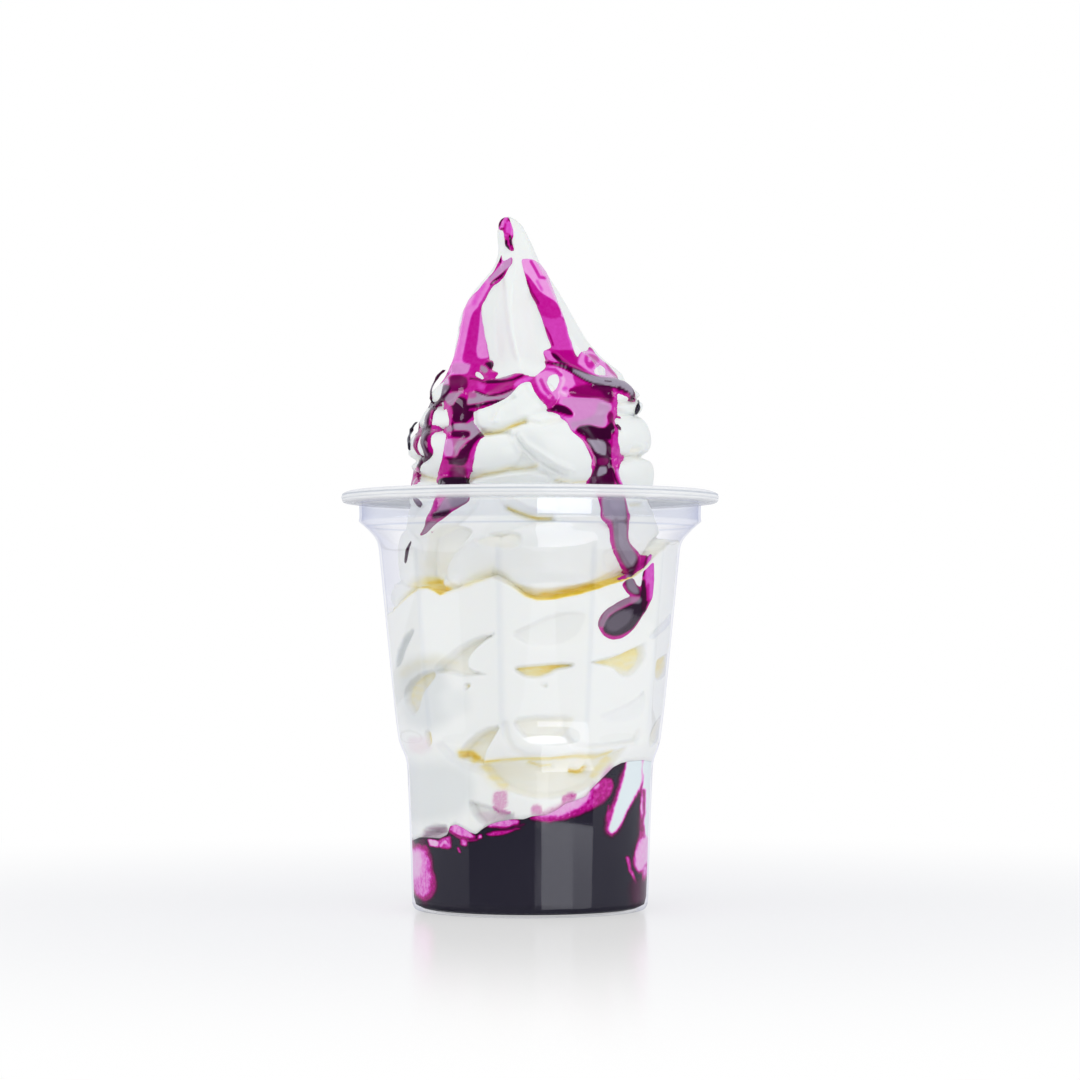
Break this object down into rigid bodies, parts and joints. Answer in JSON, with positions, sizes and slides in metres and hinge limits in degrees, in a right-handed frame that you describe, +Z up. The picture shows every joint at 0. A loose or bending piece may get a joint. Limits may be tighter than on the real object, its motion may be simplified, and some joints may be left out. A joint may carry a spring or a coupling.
{
  "type": "berry sundae",
  "caption": "Vanilla soft-serve swirl with a leaning peak and dark berry syrup, in a clear ten-sided plastic cup with a rolled lip and a pool of syrup in the bottom.",
  "frame": {"origin": "on the table under the middle of the cup's foot", "axes": "+Z up along the cup's axis to the peak; -Y is the front of the picture, +X is to the right"},
  "size_m": [0.0948, 0.095, 0.1748],
  "materials": {
    "clear_plastic": "clear, thin, glossy moulded plastic",
    "vanilla_cream": "soft satin, slightly translucent",
    "berry_syrup": "wet gloss, near black where deep and magenta where thin"
  },
  "bodies": {
    "root": {"cup": "clear_plastic", "ice_cream": "vanilla_cream", "syrup_pool": "berry_syrup"}
  },
  "joints": []
}
